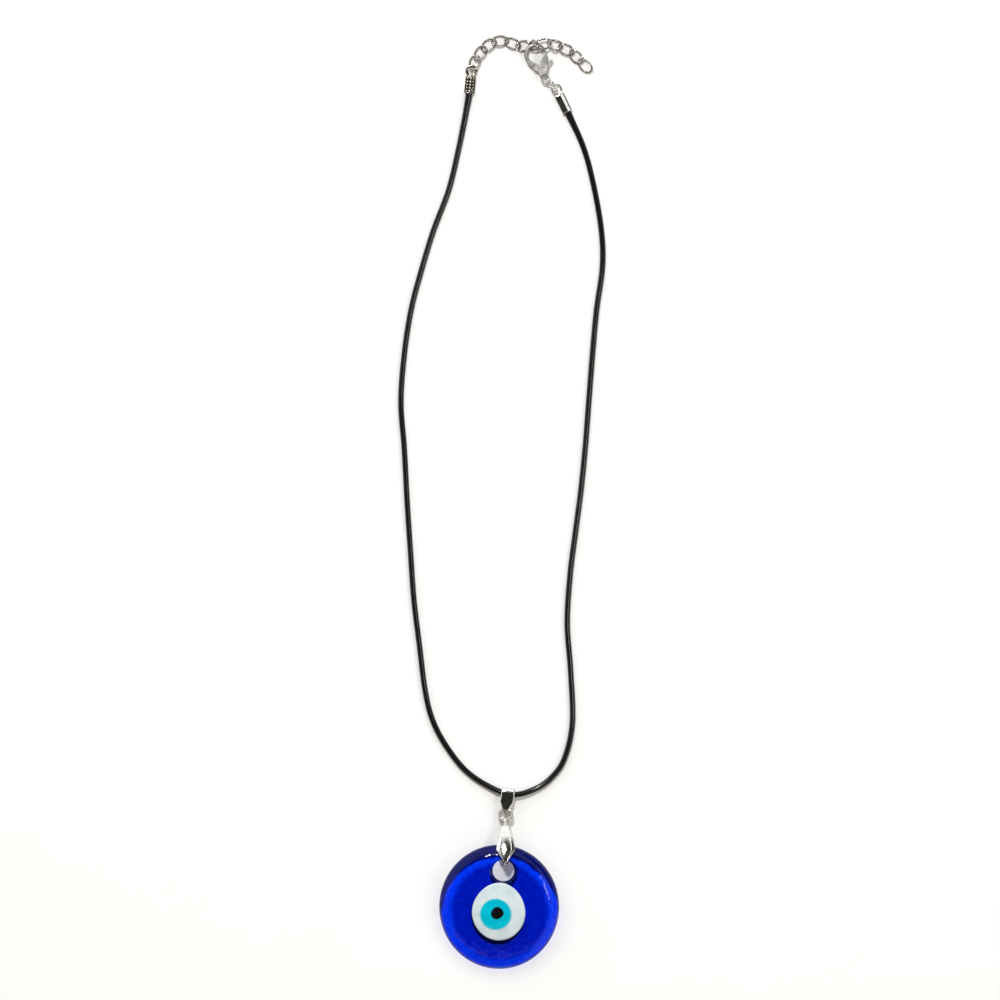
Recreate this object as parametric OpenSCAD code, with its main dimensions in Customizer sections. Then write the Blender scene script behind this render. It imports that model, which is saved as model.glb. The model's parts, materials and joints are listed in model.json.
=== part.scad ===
// Evil eye glass pendant on a waxed cord necklace, laid flat and clasped.
// Millimetres. +Z is up and z = 0 is the table. The pendant lies toward -Y, the clasp toward +Y.

/* [Glass disc] */
// Diameter of the glass disc
disc_d = 35; // [34:0.5:35.5]
// Thickness in the middle of the disc
disc_t = 5; // [4.6:0.1:5.2]
// Diameter of the hanging hole
hole_d = 6.4; // [6.2:0.1:6.6]
// Diameter of the white of the eye
white_d = 16.1; // [14:0.1:17]
// Diameter of the turquoise ring
iris_d = 8.9; // [7:0.1:10]
// Diameter of the pupil
pupil_d = 3.8; // [3:0.1:5]

/* [Pinch bail] */
// Width of the band at the cord
band_w = 4; // [3.4:0.1:4.4]
// Thickness of the band
band_t = 0.4; // [0.3:0.05:0.4]
// Outside diameter of a jaw's ring
jaw_ring_d = 4.5; // [4.3:0.1:4.7]
// Width of a jaw at its widest
jaw_w = 5.5; // [4.8:0.1:6]
// Angle between the two jaws
jaw_angle = 20; // [20:1:24]

/* [Cord and its ends] */
// Diameter of the waxed cord
cord_d = 1.7; // [1.5:0.1:1.7]
// Width of a crimped cord end
crimp_w = 3.1; // [2.9:0.1:3.3]
// Thickness of a crimped cord end
crimp_t = 2.5; // [2.3:0.1:2.6]

/* [Clasp] */
// Thickness of the clasp's casing
clasp_t = 2.6; // [2.4:0.1:2.8]
// Thickness of the hook's head
hook_t = 1.3; // [1.2:0.1:1.4]
// Diameter of the gate's pin
pin_d = 0.8; // [0.7:0.05:0.9]
// Outside diameter of the jump ring
jump_ring_d = 4.7; // [4.6:0.1:4.8]

/* [Chain] */
// Wire diameter of the chain and the jump ring
wire_d = 0.65; // [0.6:0.05:0.65]
// Outside length of a link
link_l = 5.4; // [5.3:0.1:5.5]
// Outside width of a link
link_w = 3.6; // [3.5:0.1:3.7]
// Twist of a link from its middle to each end, in degrees
link_twist = 40; // [36:1:44]

/* [Hidden] */
$fn = 48;

// Small overshoot that keeps cutting tools clear of the faces they cut
eps = 0.1;
// Running clearance of a pin or of a piece between two cheeks
clearance = 0.05;

// Pendant: the disc leans a little, because the rear jaw lies under its upper half
disc_r = disc_d / 2;
disc_tilt = 3;
disc_back_edge = 1.2;
disc_front_edge = 2.8;
disc_rim_h = 3.2;
disc_at = [-5, -118.8, (disc_r - disc_back_edge) * sin(disc_tilt)];
hole_at = [1, 10.7];
white_at = [-0.35, -1.6];
iris_at = [-1.25, -2.3];
pupil_at = [-0.8, -2.1];
white_base = disc_t - 0.7;
white_top = disc_t + 0.9;
iris_base = disc_t + 0.1;
iris_rise = 0.1;
pupil_rise = 0.2;
eye_dome_drop = 1.1;

// Pinch bail: a folded band round the cord, and two jaws that hang in its lower bend
bail_z = 1.75;
band_at = [-2.4, -85.7];
band_lean = -8.5;
band_top_r = 1.75;
band_low_r = 1.6;
band_reach = 4.7;
jaw_hinge = [-3.35, -90.35, bail_z];
jaw_wire_d = 0.75;
jaw_ring_drop = 1.98;
jaw_neck_w = 1;
jaw_ring_z = 0.5;
jaw_top_y = -5.5;
jaw_wide_y = -12.8;
jaw_tip_y = -16.7;
jaw_inner_z = 0.25;
jaw_edge_z = 0.75;
jaw_crown_z = 1.62;
peg_d = 0.9;
peg_l = 2.3;
rear_peg_l = 1.6;

// Cord: the middle line of the cord, from inside the left cord end to inside the right one
cord_z = cord_d / 2;
crimp_z = crimp_t / 2;
cord_route = [
    [-13.6, 123.3, crimp_z], [-14, 119.3, crimp_z], [-15, 113.5, 1], [-17.1, 103, cord_z],
    [-20, 91, cord_z], [-24.5, 79, cord_z], [-28, 67.5, cord_z], [-31, 56, cord_z],
    [-33, 43, cord_z], [-34, 29, cord_z], [-33, 15, cord_z], [-32.2, 0, cord_z],
    [-31.2, -15, cord_z], [-30.2, -29, cord_z], [-28.5, -43, cord_z], [-27, -55, cord_z],
    [-25, -63.5, cord_z], [-21.3, -71, cord_z], [-15.6, -78.5, cord_z], [-9, -83.3, 1.2],
    [-1.6, -86.1, bail_z], [5, -84.6, 1.2], [10, -81.2, cord_z], [13.9, -75.5, cord_z],
    [16.2, -65, cord_z], [15.7, -50, cord_z], [14.7, -36, cord_z], [15.5, -22, cord_z],
    [17, -10, cord_z], [18.7, 3, cord_z], [20, 16, cord_z], [21, 29, cord_z],
    [22.1, 43, cord_z], [23.3, 56, cord_z], [25, 68.5, cord_z], [24.7, 79, cord_z],
    [22.6, 91.5, cord_z], [19.6, 103, cord_z], [14.8, 113.8, crimp_z], [13, 117.4, crimp_z]
];
cord_rings_per_span = 2;
cord_sides = 8;

// Cord ends: placed by the middle of the mouth, turned so that local +Y points to the eye
left_end_at = [-14, 119.3];
left_end_turn = -6.1;
left_end_l = 5;
left_eye_y = 6.55;
left_eye_d = 3.7;
left_eye_hole_d = 1.8;
left_eye_z = 1.5;
right_end_at = [14.8, 113.8];
right_end_turn = 26.1;
right_end_l = 5.9;
right_eye_y = 7.35;
right_eye_d = 3.3;
right_eye_hole_d = 2.2;
right_eye_z = 2.1;
eye_t = 0.6;
cord_grip_l = 4.02;
crimp_round = 0.7;

// Clasp: local origin at the tail eye, +Y to the hook's head
clasp_at = [8.27, 123.26, 2.5];
clasp_turn = 21.65;
head_y = 7.9;
head_r = 3.3;
opening_at = [0, head_y];
opening_r = 2.2;
hook_round = 0.45;
opening_foot = [-0.1, 4.6];
tail_eye_r = 1.35;
tail_hole_r = 0.85;
tail_eye_t = 0.7;
lever_pivot = [0.75, 3.2];
lever_t = 1.3;
gate_t = 2.2;
slot_t = lever_t + 2 * clearance;
hub_r = 1.15;
spring_wire = 0.12;
spring_turns = 2;
spring_recess_r = 0.85;
spring_recess_t = 0.6;

// Jump ring: stands leaning between the clasp's tail eye and the right cord end's eye
jump_ring_at = [9.8, 121.85, 2.3];
jump_ring_turn = -42;
jump_ring_lean = 68;

// Chain: the points where each link meets the next one, from the left cord end to the free end
chain = [
    [-13.1, 126.4, 1.5], [-11.9, 129.5, 1.25], [-9.75, 132.3, 1.1], [-6.8, 134.4, 1.2],
    [-3.05, 134.65, 1.1], [0.3, 133, 1.05], [3.85, 133.2, 1.05], [6, 133.5, 4],
    [9.25, 133.8, 3], [12.7, 132.85, 1.6], [16, 131.2, 1.4], [18.6, 128.65, 1.15],
    [21.15, 126.1, 1.3]
];
// How far each link is rolled about its own length
link_roll = [-24, -17, -3, -1, -7, 6, 1, -16, -17, -5, -3, -12];
link_steps = 24;
link_sides = 8;
link_squareness = 2.4;

// ---------- shared functions ----------

function unit(v) = v / norm(v);

// A point on the smooth curve through p1 and p2, with its neighbours p0 and p3
function curve_point(p0, p1, p2, p3, t) =
    0.5 * (2 * p1 + (p2 - p0) * t + (2 * p0 - 5 * p1 + 4 * p2 - p3) * t * t
    + (3 * p1 - p0 - 3 * p2 + p3) * t * t * t);

// The smooth curve through all points of an open path
function smooth_path(path, steps) = let (last = len(path) - 1) [
    for (i = [0:last - 1], s = [0:steps - 1])
        curve_point(path[max(i - 1, 0)], path[i], path[i + 1], path[min(i + 2, last)], s / steps),
    path[last]
];

function path_direction(path, i) =
    unit(path[min(i + 1, len(path) - 1)] - path[max(i - 1, 0)]);

// One ring of a tube: corners round a centre, in the plane across the given direction
function tube_ring(centre, direction, upward, r, sides) =
    let (across = unit(cross(direction, upward)), up = cross(across, direction))
    [for (k = [0:sides - 1]) let (a = 360 * (k + 0.5) / sides)
        centre + r * (cos(a) * across + sin(a) * up)];

function wrap_faces(rings, sides, closed) = [
    for (i = [0:(closed ? rings - 1 : rings - 2)], k = [0:sides - 1])
        let (a = i * sides, b = (i + 1) % rings * sides, next = (k + 1) % sides)
        each [[a + k, a + next, b + next], [a + k, b + next, b + k]]
];

function end_faces(rings, sides) = [
    [for (k = [sides - 1:-1:0]) k],
    [for (k = [0:sides - 1]) (rings - 1) * sides + k]
];

// A solid from rings of equal size, capped at both ends or closed on itself
module skin(rings, closed = false) {
    sides = len(rings[0]);
    faces = wrap_faces(len(rings), sides, closed);
    polyhedron(
        points = [for (ring = rings) each ring],
        faces = closed ? faces : concat(faces, end_faces(len(rings), sides)),
        convexity = 6
    );
}

module tube(path, r, sides, upward = [0, 0, 1]) {
    skin([for (i = [0:len(path) - 1])
        tube_ring(path[i], path_direction(path, i), upward, r, sides)]);
}

// A rectangle with round corners, drawn with circles so that its edges stay true arcs
module round_rect(size, r) {
    square([size[0] - 2 * r, size[1]], center = true);
    square([size[0], size[1] - 2 * r], center = true);
    for (x = [-1, 1], y = [-1, 1])
        translate([x * (size[0] / 2 - r), y * (size[1] / 2 - r)]) circle(r);
}

module wire_ring(outer_d, wire) {
    rotate_extrude($fn = 64)
        translate([(outer_d - wire) / 2, 0]) circle(d = wire, $fn = 24);
}

// ---------- pendant ----------

module on_disc() {
    translate(disc_at) rotate([disc_tilt, 0, 0]) children();
}

// Half of the disc's section: flat back, rounded rim and a shallow dome
function disc_section() = let (rim_top = disc_back_edge + disc_rim_h) concat(
    [[0, 0]],
    [for (a = [0:22.5:90])
        [disc_r - disc_back_edge * (1 - sin(a)), disc_back_edge * (1 - cos(a))]],
    [for (a = [15:15:90])
        [disc_r - disc_front_edge * (1 - cos(a)),
         disc_back_edge + disc_rim_h * sin(a)]],
    [for (k = [3:-1:0]) let (s = k / 4)
        [(disc_r - disc_front_edge) * s, rim_top + (disc_t - rim_top) * (1 - s * s)]]
);

module glass_disc() {
    color([0.02, 0.12, 0.85, 0.8]) on_disc() difference() {
        rotate_extrude($fn = 96) polygon(disc_section());
        translate([hole_at[0], hole_at[1], -eps]) cylinder(d = hole_d, h = disc_t + 2 * eps);
        translate([white_at[0], white_at[1], white_base])
            cylinder(d = white_d, h = disc_t, $fn = 64);
    }
}

// The domed top that the white, the iris and the pupil share, raised by a small step each
module eye_dome(rise) {
    translate([white_at[0], white_at[1], 0]) rotate_extrude($fn = 96) polygon(concat(
        [[0, 0]],
        [for (k = [7:-1:0]) let (s = k / 5)
            [white_d / 2 * s, white_top + rise - eye_dome_drop * s * s]]
    ));
}

module eye_plug(at, d, base, rise) {
    intersection() {
        translate([at[0], at[1], base]) cylinder(d = d, h = disc_t);
        eye_dome(rise);
    }
}

module eye_white() {
    color("white") on_disc() difference() {
        eye_plug(white_at, white_d, white_base, 0, $fn = 64);
        translate([iris_at[0], iris_at[1], iris_base]) cylinder(d = iris_d, h = disc_t);
    }
}

module eye_iris() {
    color("turquoise") on_disc() difference() {
        eye_plug(iris_at, iris_d, iris_base, iris_rise);
        translate([pupil_at[0], pupil_at[1], iris_base + iris_rise])
            cylinder(d = pupil_d, h = disc_t);
    }
}

module eye_pupil() {
    color([0.05, 0.05, 0.07]) on_disc()
        eye_plug(pupil_at, pupil_d, iris_base + iris_rise, pupil_rise);
}

// ---------- pinch bail ----------

// Side view of the band: two round ends joined by straight sides
module band_side(top_r, low_r) {
    slope = asin((top_r - low_r) / band_reach);
    polygon(concat(
        [for (k = [0:16]) let (a = (90 + slope) * (k / 8 - 1)) top_r * [cos(a), sin(a)]],
        [for (k = [0:16]) let (a = 180 + (90 - slope) * (k / 8 - 1))
            [-band_reach, 0] + low_r * [cos(a), sin(a)]]
    ));
}

module bail_band() {
    low_y = -band_reach - band_low_r;
    shoulder_y = -2.6;
    color("silver") translate([band_at[0], band_at[1], bail_z]) rotate([0, 0, band_lean])
        intersection() {
            rotate([90, 0, 90]) translate([0, 0, -band_w])
                linear_extrude(2 * band_w) difference() {
                    band_side(band_top_r, band_low_r);
                    band_side(band_top_r - band_t, band_low_r - band_t);
                }
            translate([0, 0, -2 * band_top_r]) linear_extrude(4 * band_top_r) {
                translate([-band_w / 2, shoulder_y]) square([band_w, 2 * band_reach]);
                polygon([
                    [-band_w / 2, shoulder_y + eps], [-band_w / 2, shoulder_y],
                    [-0.34 * band_w, -3.8], [-0.23 * band_w, -4.7], [-0.12 * band_w, low_y - eps],
                    [0.12 * band_w, low_y - eps], [0.23 * band_w, -4.7], [0.34 * band_w, -3.8],
                    [band_w / 2, shoulder_y], [band_w / 2, shoulder_y + eps]
                ]);
            }
        }
}

// One outline of the jaw, narrowed by a factor about its middle line
function jaw_outline(factor, z_mid, z_end) = let (half = jaw_w / 2 * factor) [
    [-0.58 * half, jaw_top_y, z_end], [-0.85 * half, 0.5 * (jaw_top_y + jaw_wide_y), z_mid],
    [-half, jaw_wide_y, z_mid], [-0.16 * half, jaw_tip_y, z_end],
    [0.16 * half, jaw_tip_y, z_end], [half, jaw_wide_y, z_mid],
    [0.85 * half, 0.5 * (jaw_top_y + jaw_wide_y), z_mid], [0.58 * half, jaw_top_y, z_end]
];

// The faceted shield of a jaw, with its three outer facets along the middle
module jaw_shield() {
    crown = jaw_outline(0.55, jaw_crown_z, jaw_edge_z + 0.35);
    edge = jaw_outline(1, jaw_edge_z, jaw_edge_z);
    inner = jaw_outline(0.92, jaw_inner_z, jaw_inner_z);
    facets = [[7, 6, 1, 0], [6, 5, 2, 1], [5, 4, 3, 2], [for (k = [16:23]) k]];
    polyhedron(
        points = concat(crown, edge, inner),
        faces = concat(wrap_faces(3, 8, false), facets),
        convexity = 4
    );
}

// A jaw as it hangs below the hinge line: ring, neck, faceted shield and peg, outside up
module jaw(peg) {
    translate([0, -jaw_ring_drop, jaw_ring_z]) wire_ring(jaw_ring_d, jaw_wire_d);
    neck_top_y = -jaw_ring_drop - jaw_ring_d / 2 + jaw_wire_d / 2;
    neck_low_y = jaw_top_y - 0.6;
    translate([-jaw_neck_w / 2, neck_low_y, jaw_ring_z - jaw_wire_d / 2])
        cube([jaw_neck_w, neck_top_y - neck_low_y, jaw_wire_d]);
    jaw_shield();
    translate([0, jaw_tip_y + peg_d / 2 - 0.05, jaw_edge_z - peg - 0.4])
        cylinder(d = peg_d, h = peg + 0.5, $fn = 24);
}

module jaw_front() {
    color("silver") translate(jaw_hinge) rotate([-jaw_angle, 0, 0]) jaw(peg_l);
}

module jaw_rear() {
    color("silver") translate(jaw_hinge) mirror([0, 0, 1]) jaw(rear_peg_l);
}

// ---------- cord and its ends ----------

module cord() {
    color([0.06, 0.06, 0.07])
        tube(smooth_path(cord_route, cord_rings_per_span), cord_d / 2, cord_sides);
}

// A crimped cord end: a folded sleeve, gripping the cord, with a flat eye
module cord_end(length, eye_y, eye_d, eye_hole_d, eye_z) {
    neck_w = 1.5;
    difference() {
        union() {
            translate([0, length, crimp_z]) rotate([90, 0, 0])
                linear_extrude(length) round_rect([crimp_w, crimp_t], crimp_round);
            translate([0, eye_y, eye_z - eye_t / 2]) cylinder(d = eye_d, h = eye_t);
            translate([-neck_w / 2, length - 0.5, eye_z - eye_t / 2])
                cube([neck_w, eye_y - length - eye_hole_d / 2 + 0.3, eye_t]);
        }
        translate([0, -eps, crimp_z]) rotate([-90, 0, 0])
            cylinder(d = cord_d + 0.04, h = cord_grip_l + eps);
        translate([0, eye_y, 0]) cylinder(d = eye_hole_d, h = 2 * crimp_t);
    }
}

module cord_end_left() {
    seam_w = 0.25;
    color("silver") translate(left_end_at) rotate([0, 0, left_end_turn]) difference() {
        cord_end(left_end_l, left_eye_y, left_eye_d, left_eye_hole_d, left_eye_z);
        translate([-seam_w / 2, -eps, crimp_t - 0.15]) cube([seam_w, left_end_l + 2 * eps, 1]);
    }
}

module cord_end_right() {
    color("silver") translate(right_end_at) rotate([0, 0, right_end_turn])
        cord_end(right_end_l, right_eye_y, right_eye_d, right_eye_hole_d, right_eye_z);
}

// ---------- clasp ----------

module on_clasp() {
    translate(clasp_at) rotate([0, 0, clasp_turn]) children();
}

module slab(thickness) {
    translate([0, 0, -thickness / 2]) linear_extrude(thickness) children();
}

module clasp_opening() {
    translate(opening_at) circle(opening_r, $fn = 64);
    polygon([
        opening_at + opening_r * [-cos(20), -sin(20)], opening_foot,
        opening_at + opening_r * [cos(20), -sin(20)]
    ]);
}

// Everything left of the gate's seam and of the cheeks' edge
module gate_side() {
    polygon([
        [-3.9, 5.55], [-3.25, 6.45], [-2.15, 7.95], [-1.2, 7.9], [-0.6, 5.2], [-0.45, 4.3],
        [-1.2, 2.7], [-1.1, 1.9], [-5, 1.9]
    ]);
}

// The closed outline of the casing, from the widest place down to the tail
module casing_outline() {
    polygon([
        [-3.2, 7.3], [-3.15, 6.9], [-2.75, 5.3], [-1.9, 3.4], [-1.1, 1.6], [-0.8, 0.8],
        [0.8, 0.8], [1.3, 1.7], [2.35, 3.6], [3.05, 5.6], [3.2, 7.3]
    ]);
}

// The round head of the hook, as a rounded bar bent to a ring
module hook_ring() {
    bar = head_r - opening_r;
    translate([0, head_y]) rotate_extrude($fn = 96)
        translate([opening_r + bar / 2, 0]) round_rect([bar, hook_t], hook_round);
}

module clasp_body() {
    color([0.78, 0.77, 0.75]) on_clasp() difference() {
        union() {
            hook_ring();
            slab(clasp_t) intersection() {
                casing_outline();
                translate([-5, 1.35]) square([10, 5.3]);
            }
            slab(hook_t) casing_outline();
            slab(tail_eye_t) circle(tail_eye_r);
        }
        slab(2 * clasp_t) {
            gate_side();
            clasp_opening();
            circle(tail_hole_r);
        }
        slab(slot_t) {
            translate(lever_pivot) circle(hub_r + 0.15);
            polygon([[-3, 1.75], [0.2, 2.05], [0.75, 3.2], [0.3, 6.2], [-3, 6.2]]);
            polygon([[0.75, 1.95], [5, 1.6], [5, 5.3], [2.4, 5.1], [0.4, 4.4]]);
        }
        translate([lever_pivot[0], lever_pivot[1], -clasp_t])
            cylinder(d = pin_d, h = 2 * clasp_t, $fn = 32);
    }
}

// The arm that closes the hook, seen from above
module gate_arm() {
    polygon([
        [-3.2, 6.38], [-2.2, 7.74], [-1.95, 6.9], [-1.25, 5.85], [-0.45, 4.75], [0.3, 4.2],
        [0.1, 2.3], [-0.85, 2.35], [-1.8, 3.4], [-2.7, 5.3]
    ]);
}

module thumb_tab() {
    polygon([[1, 4.1], [2.9, 4.75], [4.1, 4.95], [4.05, 4.3], [3, 3.7], [1.4, 2.6]]);
}

module clasp_lever() {
    color([0.74, 0.73, 0.72]) on_clasp() difference() {
        union() {
            slab(lever_t) {
                gate_arm();
                translate(lever_pivot) circle(hub_r);
                thumb_tab();
            }
            slab(gate_t) intersection() {
                gate_arm();
                polygon([[-5, 9], [-5, 4.9], [-1.55, 4.9], [-1, 5.3], [-1, 9]]);
            }
        }
        translate([lever_pivot[0], lever_pivot[1], -clasp_t])
            cylinder(r = pin_d / 2 + clearance, h = 2 * clasp_t, $fn = 32);
        translate([lever_pivot[0], lever_pivot[1], -spring_recess_t / 2])
            cylinder(r = spring_recess_r, h = spring_recess_t, $fn = 32);
    }
}

module clasp_pin() {
    color("gray") on_clasp() translate([lever_pivot[0], lever_pivot[1], -clasp_t / 2])
        cylinder(d = pin_d, h = clasp_t, $fn = 32);
}

// A small torsion coil round the pin, in the recess of the lever's hub
module clasp_spring() {
    coil_r = pin_d / 2 + clearance + spring_wire / 2;
    pitch = (spring_recess_t - 2 * spring_wire) / spring_turns;
    low = -spring_recess_t / 2 + spring_wire;
    coil = [for (a = [0:30:360 * spring_turns]) [
        lever_pivot[0] + coil_r * cos(a), lever_pivot[1] + coil_r * sin(a),
        low + pitch * a / 360
    ]];
    color("gray") on_clasp() tube(coil, spring_wire / 2, 6);
}

module jump_ring() {
    color("silver") translate(jump_ring_at) rotate([0, 0, jump_ring_turn])
        rotate([jump_ring_lean, 0, 0]) wire_ring(jump_ring_d, wire_d);
}

// ---------- chain ----------

// A power that keeps the sign, for the slightly squared oval of a link
function signed_pow(v, p) = (v < 0 ? -1 : 1) * pow(abs(v), p);

// The middle line of a twisted link: an oval whose two ends are turned opposite ways
function link_point(a) = let (
    half_l = (link_l - wire_d) / 2, half_w = (link_w - wire_d) / 2, p = 2 / link_squareness,
    along = signed_pow(cos(a), p), across = half_w * signed_pow(sin(a), p),
    roll = link_twist * along
) [half_l * along, across * cos(roll), across * sin(roll)];

function link_upward(a) = let (roll = link_twist * signed_pow(cos(a), 2 / link_squareness))
    [0, -sin(roll), cos(roll)];

module twisted_link(steps = link_steps) {
    step = 360 / steps;
    skin([for (i = [0:steps - 1]) let (a = (i + 0.5) * step)
        tube_ring(link_point(a), unit(link_point(a + step / 2) - link_point(a - step / 2)),
            link_upward(a), wire_d / 2, link_sides)], closed = true);
}

// Link number n lies between two neighbouring chain points
module chain_link(n) {
    span = chain[n] - chain[n - 1];
    color("silver") translate((chain[n] + chain[n - 1]) / 2)
        rotate([0, 0, atan2(span[1], span[0])])
        rotate([0, -asin(span[2] / norm(span)), 0]) rotate([link_roll[n - 1], 0, 0])
        twisted_link();
}

glass_disc();
eye_white();
eye_iris();
eye_pupil();
bail_band();
jaw_front();
jaw_rear();
cord();
cord_end_left();
cord_end_right();
jump_ring();
clasp_body();
clasp_lever();
clasp_pin();
clasp_spring();
chain_link(1);  // link_1
chain_link(2);  // link_2
chain_link(3);  // link_3
chain_link(4);  // link_4
chain_link(5);  // link_5
chain_link(6);  // link_6
chain_link(7);  // link_7
chain_link(8);  // link_8
chain_link(9);  // link_9
chain_link(10);  // link_10
chain_link(11);  // link_11
chain_link(12);  // link_12
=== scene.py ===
"""A blue glass evil eye pendant on a waxed cord necklace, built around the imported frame."""
import json
import math

import bpy
from mathutils import Matrix, Vector, noise


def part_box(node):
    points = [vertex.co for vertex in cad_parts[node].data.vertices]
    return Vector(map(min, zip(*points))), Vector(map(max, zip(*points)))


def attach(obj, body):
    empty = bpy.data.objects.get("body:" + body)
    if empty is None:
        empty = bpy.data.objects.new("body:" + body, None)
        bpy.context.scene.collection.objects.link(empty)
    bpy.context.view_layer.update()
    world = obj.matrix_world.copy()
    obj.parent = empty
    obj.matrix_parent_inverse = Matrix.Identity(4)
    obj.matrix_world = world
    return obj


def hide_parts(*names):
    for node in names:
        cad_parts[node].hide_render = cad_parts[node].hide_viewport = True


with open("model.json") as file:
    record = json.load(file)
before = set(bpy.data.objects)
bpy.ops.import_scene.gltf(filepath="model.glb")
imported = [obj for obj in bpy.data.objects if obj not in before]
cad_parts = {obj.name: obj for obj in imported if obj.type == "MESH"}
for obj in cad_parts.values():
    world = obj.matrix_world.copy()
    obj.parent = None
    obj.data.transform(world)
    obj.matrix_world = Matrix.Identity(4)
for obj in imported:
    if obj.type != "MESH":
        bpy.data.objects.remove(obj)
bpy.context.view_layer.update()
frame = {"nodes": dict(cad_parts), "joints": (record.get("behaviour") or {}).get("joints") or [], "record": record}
MM = 0.001
NODES = frame["nodes"]
JOINTS = {j["name"]: Vector(j["pos_m"]) / MM for j in frame["joints"]}
AXES = {j["name"]: Vector(j["axis"]) for j in frame["joints"]}
MOUNTS = {m["name"]: Vector(m["pos_m"]) / MM for m in frame["record"]["mounts"]}


# ---------- places ----------

def turned(at, z=0.0, x=0.0):
    """A place in metres: moved to a point in millimetres, turned about Z and then X, in degrees."""
    place = Matrix.Translation(at * MM) @ Matrix.Rotation(math.radians(z), 4, "Z")
    return place @ Matrix.Rotation(math.radians(x), 4, "X")


def direction_deg(start, end):
    """How far the line from start to end is turned from +Y, in degrees."""
    d = end - start
    return math.degrees(math.atan2(-d.x, d.y))


# ---------- meshes ----------

def smooth_shading(mesh):
    mesh.polygons.foreach_set("use_smooth", [True] * len(mesh.polygons))


def make(name, points, faces, place=None):
    """A smooth-shaded mesh object from points in millimetres, in its own frame if it has a place."""
    mesh = bpy.data.meshes.new(name)
    mesh.from_pydata([Vector(p) * MM for p in points], [], faces)
    mesh.validate()
    mesh.update()
    smooth_shading(mesh)
    piece = bpy.data.objects.new(name, mesh)
    bpy.context.scene.collection.objects.link(piece)
    if place is not None:
        piece.matrix_world = place
    return piece


def wrap(rings, sides, closed=False):
    """Faces of a tube of equal rings, closed on itself or capped at both ends."""
    faces = []
    for i in range(rings if closed else rings - 1):
        a, b = i * sides, (i + 1) % rings * sides
        for k in range(sides):
            n = (k + 1) % sides
            faces.append((a + k, a + n, b + n, b + k))
    if not closed:
        faces.append(tuple(range(sides - 1, -1, -1)))
        faces.append(tuple((rings - 1) * sides + k for k in range(sides)))
    return faces


def flipped(faces):
    return [face[::-1] for face in faces]


def bake(piece):
    """Apply a piece's modifiers to its mesh."""
    bpy.context.view_layer.update()
    ready = piece.evaluated_get(bpy.context.evaluated_depsgraph_get())
    mesh = bpy.data.meshes.new_from_object(ready)
    piece.modifiers.clear()
    piece.data = mesh


def melt(name, parts, place, voxel, rounds, shape=None):
    """Melt overlapping shapes, each points and faces in local millimetres, into one cast skin.

    The skin is smoothed for some rounds, and shape then moves its points, if it is given.
    """
    points, faces = [], []
    for part_points, part_faces in parts:
        start = len(points)
        points += [Vector(p) / MM for p in part_points]
        faces += [tuple(start + k for k in f) for f in part_faces]
    piece = make(name, points, faces)
    remesh = piece.modifiers.new("melt", "REMESH")
    remesh.mode = "VOXEL"
    remesh.voxel_size = voxel
    smooth = piece.modifiers.new("soften", "SMOOTH")
    smooth.factor = 0.5
    smooth.iterations = rounds
    bake(piece)
    for v in piece.data.vertices:
        v.co = (shape(v.co) if shape else v.co) * MM
    piece.data.update()
    smooth_shading(piece.data)
    piece.matrix_world = place
    return piece


def node_part(node, place):
    """A CAD node's own shape, as points and faces in the millimetres of a place."""
    mesh = NODES[node].data
    back = place.inverted()
    points = [back @ v.co / MM for v in mesh.vertices]
    return points, [tuple(p.vertices) for p in mesh.polygons]


def turned_ring(middle, ring, steps=64):
    """A ring of a given middle radius, made of (outward, up) section points about Z."""
    points = []
    for i in range(steps):
        a = 2 * math.pi * i / steps
        for out, up in ring:
            r = middle + out
            points.append(Vector((r * math.cos(a), r * math.sin(a), up)))
    return points, wrap(steps, len(ring), closed=True)


def round_section(r, sides=14):
    return [(r * math.cos(2 * math.pi * k / sides), r * math.sin(2 * math.pi * k / sides))
            for k in range(sides)]


def soft_box(half_x, half_z, power=4.0, sides=40):
    """Section points of a rectangle with softly rounded corners."""
    section = []
    for k in range(sides):
        a = 2 * math.pi * k / sides
        c, s = math.cos(a), math.sin(a)
        grow = (abs(c) ** power + abs(s) ** power) ** (-1 / power)
        section.append((half_x * c * grow, half_z * s * grow))
    return section


def moved(part, offset):
    points, faces = part
    return [Vector(p) + Vector(offset) for p in points], faces


def clamp(value):
    return min(1.0, max(0.0, value))


def settle(piece):
    """Move a piece's place into its mesh, so that its box is a true one."""
    piece.data.transform(piece.matrix_world)
    piece.matrix_world = Matrix.Identity(4)


def finish_piece(piece, body, slot, material, *nodes):
    """Give a piece its material, body and the CAD nodes that it stands for. Its slot is not used.

    The pendant's pieces keep their place, because their materials are laid out from the disc's middle.
    """
    if body != "pendant":
        settle(piece)
    piece.data.materials.clear()
    piece.data.materials.append(material)
    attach(piece, body)
    if nodes:
        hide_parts(*nodes)
    return piece


# ---------- materials ----------

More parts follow.
